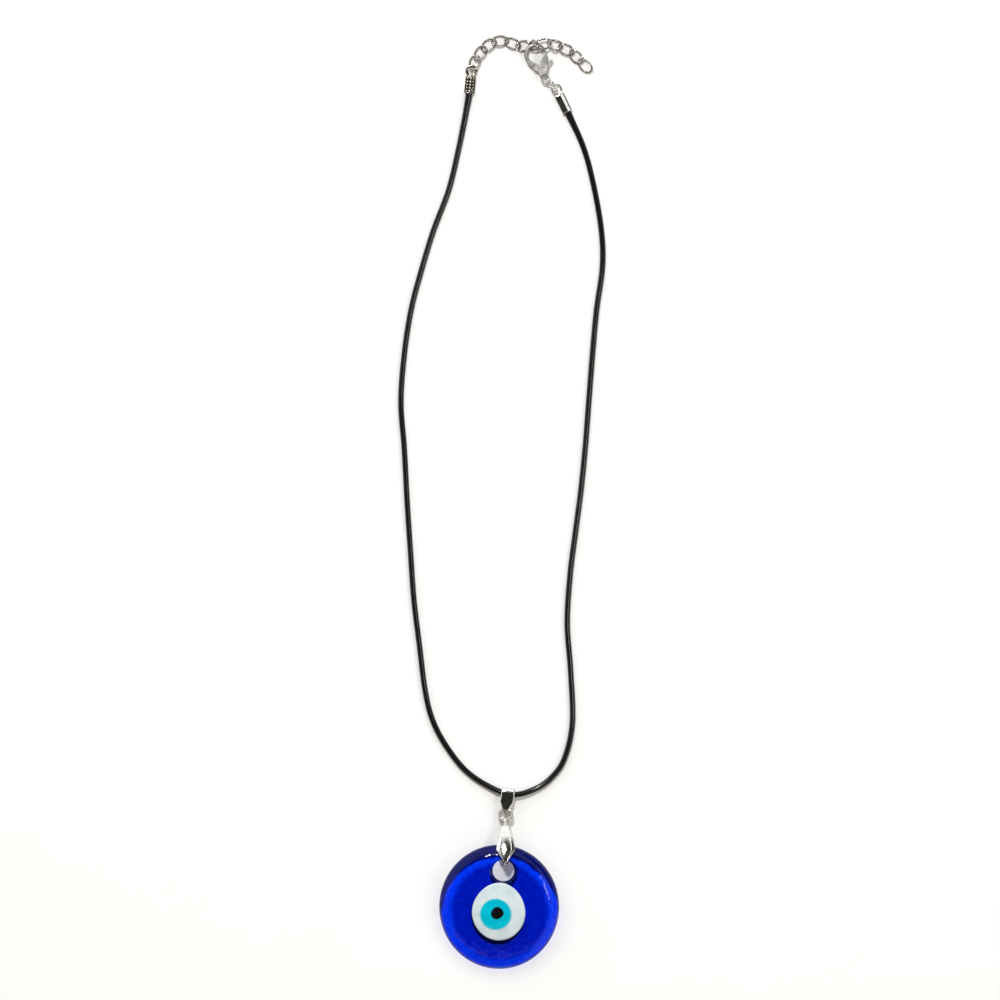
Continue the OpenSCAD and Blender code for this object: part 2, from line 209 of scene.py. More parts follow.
class Graph:
    """Short calls for building a node tree."""

    def __init__(self, tree):
        self.tree = tree

    def put(self, socket, value):
        if isinstance(value, bpy.types.NodeSocket):
            self.tree.links.new(value, socket)
        else:
            socket.default_value = value

    def vector(self, op, a, b=(0, 0, 0)):
        n = self.tree.nodes.new("ShaderNodeVectorMath")
        n.operation = op
        self.put(n.inputs[0], a)
        self.put(n.inputs[1], b)
        return n.outputs["Value" if op == "LENGTH" else "Vector"]

    def times(self, a, b):
        n = self.tree.nodes.new("ShaderNodeMath")
        n.operation = "MULTIPLY"
        self.put(n.inputs[0], a)
        self.put(n.inputs[1], b)
        return n.outputs[0]

    def axes(self, vector):
        n = self.tree.nodes.new("ShaderNodeSeparateXYZ")
        self.put(n.inputs[0], vector)
        return n.outputs

    def step(self, value, low, high, to=(0.0, 1.0)):
        """A smooth step of a value from low to high."""
        n = self.tree.nodes.new("ShaderNodeMapRange")
        n.interpolation_type = "SMOOTHSTEP"
        self.put(n.inputs["Value"], value)
        for key, number in zip(("From Min", "From Max", "To Min", "To Max"), (low, high, *to)):
            n.inputs[key].default_value = number
        return n.outputs["Result"]

    def mix(self, share, a, b):
        """A colour from a to b."""
        n = self.tree.nodes.new("ShaderNodeMix")
        n.data_type = "RGBA"
        self.put(n.inputs[0], share)
        self.put(n.inputs[6], a if isinstance(a, bpy.types.NodeSocket) else (*a, 1))
        self.put(n.inputs[7], b if isinstance(b, bpy.types.NodeSocket) else (*b, 1))
        return n.outputs[2]


class Look(Graph):
    """One procedural material. Positions in it are in millimetres."""

    def __init__(self, name, **sockets):
        self.material = bpy.data.materials.new(name)
        self.material.use_nodes = True
        super().__init__(self.material.node_tree)
        self.shader = self.tree.nodes["Principled BSDF"]
        for key, value in sockets.items():
            self.shader.inputs[key.replace("_", " ")].default_value = value
        coordinates = self.tree.nodes.new("ShaderNodeTexCoord").outputs["Object"]
        self.at = self.vector("MULTIPLY", coordinates, (1 / MM, 1 / MM, 1 / MM))

    def noise(self, scale, detail=3.0):
        n = self.tree.nodes.new("ShaderNodeTexNoise")
        self.put(n.inputs["Vector"], self.at)
        n.inputs["Scale"].default_value = scale
        n.inputs["Detail"].default_value = detail
        n.inputs["Roughness"].default_value = 0.5
        return n.outputs["Fac"]

    def spots(self, scale, size, at=None):
        """1 in small round spots scattered at a scale, 0 between them."""
        n = self.tree.nodes.new("ShaderNodeTexVoronoi")
        self.put(n.inputs["Vector"], at or self.at)
        n.inputs["Scale"].default_value = scale
        return self.step(n.outputs["Distance"], size, size * 0.6)

    def away(self, centre, stretch=(1, 1, 0), at=None):
        """Distance in the XY plane from a centre, stretched along X and Y."""
        shifted = self.vector("SUBTRACT", at or self.at, (*centre, 0))
        return self.vector("LENGTH", self.vector("MULTIPLY", shifted, stretch))

    def colour(self, value):
        self.put(self.shader.inputs["Base Color"], value)

    def rough(self, value):
        self.put(self.shader.inputs["Roughness"], value)

    def bump(self, height, depth):
        """Raise the surface by a height from 0 to 1, times a depth in millimetres."""
        n = self.tree.nodes.new("ShaderNodeBump")
        n.inputs["Strength"].default_value = 1.0
        n.inputs["Distance"].default_value = depth * MM
        self.put(n.inputs["Height"], height)
        self.put(self.shader.inputs["Normal"], n.outputs["Normal"])


def plated_metal(name, colour, shade, rough_range, grain=2.5, depth=0.012):
    """Plated metal with faint wear, uneven gloss and a fine surface grain."""
    look = Look(name, Metallic=1.0)
    wear = look.noise(1.1, 4.0)
    look.colour(look.mix(look.step(wear, 0.42, 0.72), colour, shade))
    look.rough(look.step(look.noise(grain, 5.0), 0.3, 0.75, rough_range))
    look.bump(look.noise(grain * 2.2, 4.0), depth)
    return look.material


def beaded_metal():
    """Bright plate with painted shade in its pressed grooves, a little below the sleeve's top."""
    look = Look("beaded_nickel", Metallic=1.0)
    height = look.axes(look.at)["Z"]
    # Painted shade: a near-black band just under the sleeve's top, broken up by noise
    groove = look.times(look.step(height, 2.42, 2.28), look.step(height, 1.6, 1.9))
    groove = look.times(groove, look.step(look.noise(1.4), 0.2, 0.4))
    look.colour(look.mix(groove, (0.80, 0.78, 0.70), (0.05, 0.04, 0.03)))
    look.rough(look.step(look.noise(2.5, 4.0), 0.3, 0.75, (0.1, 0.22)))
    look.bump(look.noise(5.0, 4.0), 0.01)
    return look.material


def braided_cord():
    """Black waxed cotton, a little greyer in places."""
    look = Look("waxed_cord", Specular_IOR_Level=0.35)
    fuzz = look.noise(9.0, 4.0)
    worn = look.step(look.noise(1.6, 3.0), 0.45, 0.8)
    look.colour(look.mix(worn, (0.0015, 0.0015, 0.002), (0.006, 0.0055, 0.0055)))
    look.rough(look.step(fuzz, 0.3, 0.7, (0.12, 0.22)))
    look.bump(fuzz, 0.004)
    return look.material


# ---------- camera, light and floor ----------

PICTURE_MM = 292.9
PICTURE_CENTRE = (-4.98, 0.15)
LENS, SENSOR = 600.0, 36.0
FLOOR_HALF, FLOOR_Z = 1500, -0.02


def add_camera():
    """A long lens straight above the necklace."""
    data = bpy.data.cameras.new("camera")
    data.lens, data.sensor_width = LENS, SENSOR
    data.clip_end = 20.0
    camera = bpy.data.objects.new("camera", data)
    height = PICTURE_MM * LENS / SENSOR
    camera.location = Vector((*PICTURE_CENTRE, height)) * MM
    bpy.context.scene.collection.objects.link(camera)
    bpy.context.scene.camera = camera


def add_light(name, at, size, watts):
    """A rectangular light that faces the origin."""
    data = bpy.data.lights.new(name, "AREA")
    data.shape = "RECTANGLE"
    data.size, data.size_y = size
    data.energy = watts
    light = bpy.data.objects.new(name, data)
    light.location = at
    light.rotation_euler = (-Vector(at)).to_track_quat("-Z", "Y").to_euler()
    bpy.context.scene.collection.objects.link(light)


def add_world():
    """A white room that bright metal mirrors, dark in front, overhead and low on the right."""
    world = bpy.data.worlds.new("studio")
    world.use_nodes = True
    graph = Graph(world.node_tree)
    x, y, z = graph.axes(graph.tree.nodes.new("ShaderNodeTexCoord").outputs["Generated"])
    room = graph.mix(graph.step(y, -0.25, 0.2), (0.22, 0.22, 0.18), (1.35, 1.35, 1.37))
    right = graph.step(x, 0.3, 0.5)
    front_right = graph.times(right, graph.step(y, -0.08, -0.25))
    room = graph.mix(front_right, room, (1.0, 1.05, 0.85))
    low_right = graph.times(graph.times(right, graph.step(y, -0.15, 0.0)), graph.step(z, 0.5, 0.4))
    room = graph.mix(low_right, room, (0.03, 0.03, 0.03))
    room = graph.mix(graph.step(z, 0.70, 0.80), room, (0.03, 0.032, 0.026))
    strip = graph.times(graph.step(y, -0.46, -0.42), graph.step(y, -0.30, -0.34))
    room = graph.mix(graph.times(strip, graph.step(z, 0.7, 0.8)), room, (1.5, 1.0, 0.75))
    graph.put(graph.tree.nodes["Background"].inputs["Color"], room)
    bpy.context.scene.world = world


def add_floor():
    corners = [(x * FLOOR_HALF, y * FLOOR_HALF, FLOOR_Z) for x, y in ((-1, -1), (1, -1), (1, 1), (-1, 1))]
    floor = make("floor", corners, [(0, 1, 2, 3)])
    look = Look("pale_floor", Roughness=0.9)
    look.colour(look.mix(look.noise(0.05, 2.0), (0.93, 0.93, 0.93), (0.95, 0.95, 0.95)))
    floor.data.materials.append(look.material)


def add_studio():
    add_world()
    bpy.context.scene.view_settings.view_transform = "Standard"
    add_light("key", (-0.11, 0.42, 0.95), (0.11, 0.05), 6.2)
    add_light("fill", (0.45, -0.05, 0.8), (0.12, 0.12), 1.2)
    add_floor()


# ---------- cord ----------

# The route of the cord's middle line, in metres, as the frame's cord has it
CRIMP_Z, CORD_Z, BAIL_Z = 0.00125, 0.00085, 0.00175
CORD_ROUTE = [
    (-0.0136, 0.1233, CRIMP_Z), (-0.014, 0.1193, CRIMP_Z), (-0.015, 0.1135, 0.001),
    (-0.0171, 0.103, CORD_Z), (-0.02, 0.091, CORD_Z), (-0.0245, 0.079, CORD_Z),
    (-0.028, 0.0675, CORD_Z), (-0.031, 0.056, CORD_Z), (-0.033, 0.043, CORD_Z),
    (-0.034, 0.029, CORD_Z), (-0.033, 0.015, CORD_Z), (-0.0322, 0, CORD_Z),
    (-0.0312, -0.015, CORD_Z), (-0.0302, -0.029, CORD_Z), (-0.0285, -0.043, CORD_Z),
    (-0.027, -0.055, CORD_Z), (-0.025, -0.0635, CORD_Z), (-0.0213, -0.071, CORD_Z),
    (-0.0156, -0.0785, CORD_Z), (-0.009, -0.0833, 0.0012), (-0.0016, -0.0861, BAIL_Z),
    (0.005, -0.0846, 0.0012), (0.01, -0.0812, CORD_Z), (0.0139, -0.0755, CORD_Z),
    (0.0162, -0.065, CORD_Z), (0.0157, -0.05, CORD_Z), (0.0147, -0.036, CORD_Z),
    (0.0155, -0.022, CORD_Z), (0.017, -0.01, CORD_Z), (0.0187, 0.003, CORD_Z),
    (0.02, 0.016, CORD_Z), (0.021, 0.029, CORD_Z), (0.0221, 0.043, CORD_Z),
    (0.0233, 0.056, CORD_Z), (0.025, 0.0685, CORD_Z), (0.0247, 0.079, CORD_Z),
    (0.0226, 0.0915, CORD_Z), (0.0196, 0.103, CORD_Z), (0.0148, 0.1138, CRIMP_Z),
    (0.013, 0.1174, CRIMP_Z),
]
CORD_D = 1.7
CURVE_STEPS = 40
BRAID_PITCH, BRAID_LOBES, BRAID_SIDES = 1.05, 6, 32
BRAID_STEP = 0.2
BRAID_DEPTH = 0.04
# The cord spreads where it leaves a crimp: the gripped length, and how much and how far it spreads
CRIMPED, FLARE, FLARE_LENGTH = 4.1, 0.3, 5.0
PATH_SKIP = 8


def curve_point(p, t):
    """A point on the smooth curve from p[1] to p[2], which also heeds the points before and after."""
    return 0.5 * (2 * p[1] + (p[2] - p[0]) * t + (2 * p[0] - 5 * p[1] + 4 * p[2] - p[3]) * t * t
                  + (3 * p[1] - p[0] - 3 * p[2] + p[3]) * t ** 3)


def smooth_path(route, spacing):
    """Points in millimetres, evenly spaced along the smooth curve through a route in metres."""
    rough, last = [], len(route) - 1
    for i in range(last):
        p = [Vector(route[k]) / MM for k in (max(i - 1, 0), i, i + 1, min(i + 2, last))]
        rough += [curve_point(p, s / CURVE_STEPS) for s in range(CURVE_STEPS)]
    rough.append(Vector(route[last]) / MM)
    lengths = [0.0]
    for a, b in zip(rough, rough[1:]):
        lengths.append(lengths[-1] + (b - a).length)
    count = round(lengths[-1] / spacing)
    path, i = [], 0
    for k in range(count + 1):
        want = lengths[-1] * k / count
        while i < len(rough) - 2 and lengths[i + 1] < want:
            i += 1
        path.append(rough[i].lerp(rough[i + 1], (want - lengths[i]) / (lengths[i + 1] - lengths[i])))
    return path, lengths[-1]


def braid_height(angle, along):
    """How high the braid stands, 0 in the gaps and 1 on a strand, round and along the cord."""
    u = BRAID_LOBES * angle / (2 * math.pi) + along / BRAID_PITCH
    v = BRAID_LOBES * angle / (2 * math.pi) - along / BRAID_PITCH
    over = (math.floor(u) + math.floor(v)) % 2
    across, length = (u, v) if over else (v, u)
    return math.sin(math.pi * (across % 1)) ** 0.7 * (0.45 + 0.55 * math.sin(math.pi * (length % 1)))


def cord_ring(path, i):
    """The braid's outline at one step of the cord's path."""
    last = len(path) - 1
    ahead = (path[min(i + 1, last)] - path[max(i - 1, 0)]).normalized()
    side = ahead.cross(Vector((0, 0, 1))).normalized()
    up = side.cross(ahead)
    free = min(i, last - i) * BRAID_STEP - CRIMPED
    flare = 1 + FLARE * math.exp(-free / FLARE_LENGTH) if free > 0 else 1.0
    ring = []
    for k in range(BRAID_SIDES):
        a = 2 * math.pi * k / BRAID_SIDES
        r = flare * CORD_D / 2 * (1 - BRAID_DEPTH + BRAID_DEPTH * braid_height(a, i * BRAID_STEP))
        ring.append(path[i] + r * (math.cos(a) * side + math.sin(a) * up))
    return ring


def add_cord(material):
    """The cord's piece, its path in metres and its length in millimetres."""
    path, length = smooth_path(CORD_ROUTE, BRAID_STEP)
    points = [point for i in range(len(path)) for point in cord_ring(path, i)]
    piece = make("cord_braid", points, wrap(len(path), BRAID_SIDES))
    finish_piece(piece, "cord_set", "waxed_cord", material, "cord")
    return piece, [tuple(p * MM) for p in path[::PATH_SKIP] + [path[-1]]], length


# ---------- pendant ----------

DISC_R, DISC_T, BACK_EDGE = 17.5, 5.0, 1.2
DOME_FALL, RIM_WIDTH, RIM_DROP = 0.85, 3.8, 2.9
HOLE_AT, HOLE_R = (1.0, 10.7), 3.15
HOLE_WIDTH, HOLE_DROP, HOLE_BACK_EDGE = 1.1, 0.9, 0.5
SURFACE_WAVE, WAVE_SCALE, WAVE_SEED = 0.03, 0.25, 3.0
DISC_SPOKES, DISC_STEPS = 160, 44

WHITE_AT, IRIS_AT, PUPIL_AT = (-0.35, -1.3), (-1.25, -1.95), (-0.8, -1.6)
EYE_R, EYE_CROWN, EYE_FALL = 8.05, 0.9, 0.7
IRIS_R = 4.65
SPOT_SPOKES, SPOT_RINGS = 96, 16
# Each spot's half sizes, the waves of its outline as (count, size, phase), its underside over the
# disc's top, its rise over the eye's dome, and its rounded edge
SPOTS = {
    "eye_white": {"at": WHITE_AT, "half": (7.77, 8.45), "waves": [(3, 0.01, 2.0), (4, 0.006, 0.5)],
                  "base": -0.7, "rise": 0.0, "edge": 0.42},
    "eye_iris": {"at": IRIS_AT, "half": (4.8, IRIS_R), "waves": [(3, 0.01, 1.0)],
                 "base": 0.1, "rise": 0.06, "edge": 0.06},
    "eye_pupil": {"at": PUPIL_AT, "half": (1.8, 1.8),
                  "waves": [(2, 0.04, -1.2), (3, 0.03, 0.7), (4, 0.02, 0.3)],
                  "base": 0.2, "rise": 0.12, "edge": 0.06},
}


def soft_drop(distance, width, drop):
    """How far a rounded edge has dropped, at a distance inside of it."""
    if distance >= width:
        return 0.0
    t = 1 - distance / width
    return drop * (1 - math.sqrt(max(0.0, 1 - t * t)))


def rim_radius(a):
    """The disc's uneven outline, longest from its top to its bottom."""
    return DISC_R + 0.4 - 0.22 * math.cos(a) - 0.1 * math.sin(a) - 0.34 * math.cos(2 * a)


def disc_height(x, y, top):
    """The height of the disc's domed top or of its flat back."""
    r = math.hypot(x, y)
    from_rim = max(0.0, rim_radius(math.atan2(y, x)) - r)
    from_hole = max(0.0, math.hypot(x - HOLE_AT[0], y - HOLE_AT[1]) - HOLE_R)
    if not top:
        back = soft_drop(from_rim, BACK_EDGE, BACK_EDGE)
        return back + soft_drop(from_hole, HOLE_BACK_EDGE, HOLE_BACK_EDGE)
    wave = SURFACE_WAVE * noise.noise(Vector((x * WAVE_SCALE, y * WAVE_SCALE, WAVE_SEED)))
    dome = DISC_T - DOME_FALL * (r / DISC_R) ** 2 + wave * min(1.0, from_rim)
    return dome - soft_drop(from_rim, RIM_WIDTH, RIM_DROP) - soft_drop(from_hole, HOLE_WIDTH, HOLE_DROP)


def add_disc(place, material):
    """The disc as one skin, from the hole over the top to the rim, and back under it."""
    points = []
    for top in (True, False):
        for i in range(DISC_STEPS + 1):
            t = 0.5 - 0.5 * math.cos(math.pi * (i if top else DISC_STEPS - i) / DISC_STEPS)
            for k in range(DISC_SPOKES):
                a = 2 * math.pi * k / DISC_SPOKES
                c, s = math.cos(a), math.sin(a)
                r = rim_radius(a)
                x = (1 - t) * (HOLE_AT[0] + HOLE_R * c) + t * r * c
                y = (1 - t) * (HOLE_AT[1] + HOLE_R * s) + t * r * s
                points.append((x, y, disc_height(x, y, top)))
    faces = flipped(wrap(2 * (DISC_STEPS + 1), DISC_SPOKES, closed=True))
    piece = make("disc_glass", points, faces, place)
    piece.visible_shadow = False
    finish_piece(piece, "pendant", "blue_glass", material, "glass_disc")


def eye_height(x, y):
    s = math.hypot(x - WHITE_AT[0], y - WHITE_AT[1]) / EYE_R
    return DISC_T + EYE_CROWN - EYE_FALL * s * s


def spot_outline(spot):
    """A spot's outline round its own middle: an oval with a few low waves."""
    outline = []
    for k in range(SPOT_SPOKES):
        a = 2 * math.pi * k / SPOT_SPOKES
        wave = 1 + sum(size * math.cos(n * a + phase) for n, size, phase in spot["waves"])
        outline.append((spot["half"][0] * wave * math.cos(a), spot["half"][1] * wave * math.sin(a)))
    return outline


def spot_points(spot):
    """The spot's middle, its rings over the eye's dome, its underside's ring and its middle below."""
    at, rise, edge = spot["at"], spot["rise"], spot["edge"]
    base = DISC_T + spot["base"]
    outline = spot_outline(spot)
    points = [(*at, eye_height(*at) + rise)]
    for i in range(1, SPOT_RINGS + 1):
        t = math.sin(math.pi / 2 * i / SPOT_RINGS)
        for dx, dy in outline:
            x, y = at[0] + t * dx, at[1] + t * dy
            inside = (1 - t) * math.hypot(dx, dy)
            points.append((x, y, eye_height(x, y) + rise - soft_drop(inside, edge, edge)))
    points += [(at[0] + dx, at[1] + dy, base) for dx, dy in outline]
    return points + [(*at, base)]


def spot_faces():
    after = [(k + 1) % SPOT_SPOKES for k in range(SPOT_SPOKES)]
    faces = [(0, 1 + k, 1 + n) for k, n in enumerate(after)]
    for i in range(SPOT_RINGS):
        a, b = 1 + i * SPOT_SPOKES, 1 + (i + 1) * SPOT_SPOKES
        faces += [(a + k, b + k, b + n, a + n) for k, n in enumerate(after)]
    low = 1 + SPOT_RINGS * SPOT_SPOKES
    return faces + [(low + n, low + k, low + SPOT_SPOKES) for k, n in enumerate(after)]


def add_spot(node, place, slot, material):
    piece = make(node + "_spot", spot_points(SPOTS[node]), spot_faces(), place)
    finish_piece(piece, "pendant", slot, material, node)


def blue_glass():
    """Cobalt glass with painted light: brighter blue in its sloped rim, and painted navy shade where the rim turns
    away at the top.
    """
    look = Look("cobalt_glass", Transmission_Weight=0.3, IOR=1.4, Roughness=0.04, Specular_IOR_Level=0.1)
    shift = look.vector("SUBTRACT", look.noise(0.35, 2.0), (0.5, 0.5, 0.5))
    at = look.vector("ADD", look.at, look.vector("MULTIPLY", shift, (1.6, 1.6, 0)))
    mottle = look.noise(0.7, 5.0)
    body = look.mix(look.step(mottle, 0.35, 0.7), (0.0, 0.009, 0.44), (0.0, 0.014, 0.56))
    # Painted light: a brighter blue round the sloped rim
    painted_rim_light = look.mix(look.step(look.noise(0.9, 3.0), 0.3, 0.7), (0.0, 0.03, 0.80), (0.0, 0.055, 0.95))
    body = look.mix(look.step(look.away((0, -1.2), at=at), 13.2, 15.2), body, painted_rim_light)
    # Painted shade: deep navy where the rim turns away at the top
    navy = look.mix(look.step(mottle, 0.3, 0.7), (0.0, 0.002, 0.075), (0.001, 0.006, 0.14))
    body = look.mix(look.step(look.away((0, -2.4), at=at), 16.7, 17.3), body, navy)
    # Painted shade: a dark ring round the hole, set a little below its middle
    hole = look.away((HOLE_AT[0] + 0.15, HOLE_AT[1] - 0.9), at=at)
    body = look.mix(look.step(hole, 4.3, 4.0), body, (0.0, 0.003, 0.09))
    # Painted shadow: a dark crescent under the white eye, its outline shifted down
    painted_shadow_under_eye = look.away((WHITE_AT[0] - 0.2, WHITE_AT[1] - 0.8), (1 / 7.75, 1 / 8.75, 0))
    body = look.mix(look.step(painted_shadow_under_eye, 1.05, 0.98), body, (0.0, 0.002, 0.05))
    look.colour(painted_low_edge_shadow(look, inclusions(look, body)))
    look.bump(look.noise(0.6, 4.0), 0.12)
    return look.material


def inclusions(look, body):
    """Dark specks and a few long pale bubbles in the glass."""
    body = look.mix(look.times(look.spots(0.45, 0.16), 0.7), body, (0.0, 0.006, 0.10))
    seeds = look.vector("MULTIPLY", look.vector("ADD", look.at, (3.3, 1.7, 0.4)), (1, 0.45, 1))
    return look.mix(look.times(look.spots(0.33, 0.065, seeds), 0.35), body, (0.0, 0.20, 0.72))


def painted_low_edge_shadow(look, body):
    """Painted shadow: a thin grey line along the lower half of the rim, just over its widest line."""
    rim = look.away((-0.22, -0.1), (1 / 17.56, 1 / 18.24, 0))
    axes = look.axes(look.at)
    line = look.times(look.step(rim, 0.968, 0.978), look.step(axes["Y"], 1.0, -5.0))
    return look.mix(look.times(line, look.step(axes["Z"], 0.9, 1.2)), body, (0.09, 0.07, 0.14))


def spot_glass(name, colour, shade, edge_colour=None):
    """Opaque glossy glass. An edge colour softens the iris into the white round it."""
    look = Look(name, Specular_IOR_Level=0.12)
    body = look.mix(look.step(look.noise(0.25, 3.0), 0.35, 0.7), colour, shade)
    if edge_colour:
        body = look.mix(look.step(look.away(IRIS_AT), IRIS_R - 0.45, IRIS_R + 0.05), body, edge_colour)
    look.colour(body)
    look.rough(look.step(look.noise(1.3, 3.0), 0.3, 0.7, (0.16, 0.26)))
    look.bump(look.noise(1.2, 3.0), 0.03)
    return look.material


def disc_place():
    """The middle of the disc's back, leaning as the disc does on the rear jaw."""
    tilt = -math.asin(AXES["disc_swing"].y)
    low, high = (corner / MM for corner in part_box("glass_disc"))
    middle = (low + high) / 2
    middle.y += BACK_EDGE * math.sin(tilt)
    middle.z = low.z + (DISC_R - BACK_EDGE) * math.sin(tilt)
    return turned(middle, 0, math.degrees(tilt))


def add_pendant():
    place = disc_place()
    add_disc(place, blue_glass())
    add_spot("eye_white", place, "white_glass",
             spot_glass("white_glass", (0.64, 0.73, 0.75), (0.54, 0.64, 0.68)))
    add_spot("eye_iris", place, "turquoise_glass",
             spot_glass("turquoise_glass", (0.0, 0.44, 0.60), (0.0, 0.50, 0.66), (0.30, 0.62, 0.69)))
    add_spot("eye_pupil", place, "black_glass",
             spot_glass("black_glass", (0.004, 0.005, 0.006), (0.012, 0.014, 0.018)))


# ---------- pinch bail ----------

BAND_LEAN = -8.5
BAND_TOP_R, BAND_LOW_R, BAND_REACH, BAND_T = 1.75, 1.6, 4.7, 0.4
BAND_ARC_STEPS, BAND_SPACING = 40, 0.3
# Half widths at distances along the band from its top bend, narrowing towards its bottom one
BAND_WIDTHS = [(-6.3, 0.5), (-4.7, 0.92), (-3.8, 1.36), (-2.6, 1.95), (2.0, 1.98)]
BAND_COLUMNS = [-1, -0.97, -0.86, -0.74, -0.4, 0, 0.4, 0.74, 0.86, 0.97, 1]
# How far the outer face falls towards the inner one at its outermost columns
BAND_EDGE_FALL = {1: 0.62, 0.97: 0.22, 0.86: 0.06}


def between(rows, at):
    """A value read from rows of (place, value), straight between them and level past the last."""
    for (low, low_value), (high, high_value) in zip(rows, rows[1:]):
        if at <= high:
            t = max(0.0, (at - low) / (high - low))
            return low_value + (high_value - low_value) * t
    return rows[-1][1]


def band_loop(inset):
    """The band's side view as (along, up) points: two arcs joined by straight sides."""
    slope = math.asin((BAND_TOP_R - BAND_LOW_R) / BAND_REACH)
    loop = []
    for r, centre, half, middle in ((BAND_TOP_R, 0.0, math.pi / 2 + slope, 0.0),
                                    (BAND_LOW_R, -BAND_REACH, math.pi / 2 - slope, math.pi)):
        for k in range(BAND_ARC_STEPS + 1):
            a = middle + half * (2 * k / BAND_ARC_STEPS - 1)
            loop.append((centre + (r - inset) * math.cos(a), (r - inset) * math.sin(a)))
    dense = []
    for (x0, z0), (x1, z1) in zip(loop, loop[1:] + loop[:1]):
        pieces = max(1, round(math.hypot(x1 - x0, z1 - z0) / BAND_SPACING))
        dense += [(x0 + (x1 - x0) * k / pieces, z0 + (z1 - z0) * k / pieces) for k in range(pieces)]
    return dense


def add_band(material):
    """The folded strip, with its outer edges rolled."""
    lean = Matrix.Rotation(math.radians(BAND_LEAN), 4, "Z")
    top_bend = JOINTS["bail_swing"] + (lean @ Vector((0, BAND_REACH, 0)))
    outer, inner = band_loop(0.0), band_loop(BAND_T)
    count = len(outer)
    inner = [inner[round(i * len(inner) / count) % len(inner)] for i in range(count)]
    points = []
    for (along, up), (along_in, up_in) in zip(outer, inner):
        half = between(BAND_WIDTHS, along)
        for c in BAND_COLUMNS:
            fall = BAND_EDGE_FALL.get(abs(c), 0.0)
            points.append((c * half, along + (along_in - along) * fall, up + (up_in - up) * fall))
        for c in reversed(BAND_COLUMNS):
            points.append((c * half * 0.98, along_in, up_in))
    faces = wrap(count, 2 * len(BAND_COLUMNS), closed=True)
    piece = make("bail_band_strip", points, faces, Matrix.Translation(top_bend * MM) @ lean)
    finish_piece(piece, "band", "bright_plate", material, "bail_band")


# Sizes below the jaw's hinge, with the jaw's inside towards -Z
JAW_RING_D, JAW_WIRE, JAW_DROP, JAW_RING_Z = 4.5, 0.75, 1.98, 0.5
JAW_HALF_W, JAW_TOP, JAW_WIDE, JAW_TIP = 2.75, -5.5, -12.8, -16.7
JAW_INNER, JAW_EDGE, JAW_CROWN = 0.25, 0.75, 1.64
CROWN_Y, CROWN_FALL, CROWN_SHARE = -10.2, 0.018, 0.66
PILLOW, PILLOW_W = 0.13, 1.5
JAW_ROWS, JAW_ROUNDING = 26, 0.18
NECK_HALF_W, NECK_HALF_T, NECK_SIDES = 0.62, 0.4, 24
PEG_R, PEG_SIDES = 0.45, 20
FRONT_JAW_TURN, FRONT_PEG, REAR_PEG = -20, 2.3, 1.6
# A long leaf with a soft shoulder, as shares of the half width
JAW_WIDTHS = [(JAW_TIP, 0.16), (JAW_WIDE, 1.0), ((JAW_TOP + JAW_WIDE) / 2, 0.86), (JAW_TOP, 0.58)]


def jaw_section(y):
    """One closed section of a jaw's shield: a low crown between two bevels, over a flat back."""
    half = JAW_HALF_W * between(JAW_WIDTHS, y)
    crown = JAW_CROWN - CROWN_FALL * (y - CROWN_Y) ** 2
    flat = CROWN_SHARE * half
    top = [(f * flat, crown - PILLOW * (f * flat / PILLOW_W) ** 2)
           for f in (-1, -0.8, -0.5, -0.2, 0.2, 0.5, 0.8, 1)]
    edge = crown - PILLOW * (flat / PILLOW_W) ** 2
    left = [(-half, JAW_EDGE - 0.12), (-half + 0.04, JAW_EDGE), (-half + 0.12, JAW_EDGE + 0.06),
            (-flat - 0.07, edge - 0.045)]
    inner = 0.92 * half
    back = [(inner - 0.06, JAW_INNER + 0.02), (inner - 0.2, JAW_INNER), (-inner + 0.2, JAW_INNER),
            (-inner + 0.06, JAW_INNER + 0.02)]
    return left + top + [(-x, z) for x, z in reversed(left)] + back


def jaw_shield():
    """Sections of the shield from its top to its tip, drawn in a little at both ends."""
    start, end = JAW_TOP - JAW_ROUNDING, JAW_TIP + JAW_ROUNDING
    rows = [(JAW_TOP, 0.86), (JAW_TOP - 0.06, 0.97), (start, 1.0)]
    rows += [(start + (end - start) * k / JAW_ROWS, 1.0) for k in range(1, JAW_ROWS)]
    rows += [(end, 1.0), (JAW_TIP + 0.06, 0.95), (JAW_TIP, 0.8)]
    middle = (JAW_INNER + JAW_EDGE) / 2
    points = []
    for y, f in rows:
        section = jaw_section(y)
        points += [(x * f, y, middle + (z - middle) * f) for x, z in section]
    return points, flipped(wrap(len(rows), len(section)))


def jaw_ring():
    """The jaw's ring and the neck that joins it to the shield."""
    wire = turned_ring((JAW_RING_D - JAW_WIRE) / 2, round_section(JAW_WIRE / 2))
    neck_top = -JAW_DROP - JAW_RING_D / 2 + JAW_WIRE
    neck = []
    for y, f in ((neck_top, 0.8), (JAW_TOP, 1.0), (JAW_TOP - 0.9, 1.0)):
        neck += [(x * f, y, JAW_RING_Z + z * f)
                 for x, z in soft_box(NECK_HALF_W, NECK_HALF_T, 3.0, NECK_SIDES)]
    return [moved(wire, (0, -JAW_DROP, JAW_RING_Z)), (neck, wrap(3, NECK_SIDES))]


def jaw_peg(length):
    """The blunt peg behind the jaw's tip."""
    peg_y = JAW_TIP + PEG_R - 0.05
    low = JAW_EDGE - length - 0.4
    points = []
    for z, f in ((JAW_EDGE, 1.0), (low + 0.25, 1.0), (low + 0.08, 0.8), (low, 0.45)):
        points += [(x * f, peg_y + y * f, z) for x, y in round_section(PEG_R, PEG_SIDES)]
    return points, flipped(wrap(4, PEG_SIDES))


def add_jaw(name, body, node, place, peg, material, ring_material):
    shield = make(name, *jaw_shield(), place)
    finish_piece(shield, body, "bright_plate", material, node)
    ring = melt(name + "_ring", jaw_ring(), place, 0.06, 5)
    finish_piece(ring, body, "bright_plate", ring_material)
    pin = make(name + "_peg", *jaw_peg(peg), place)
    finish_piece(pin, body, "bright_plate", material)


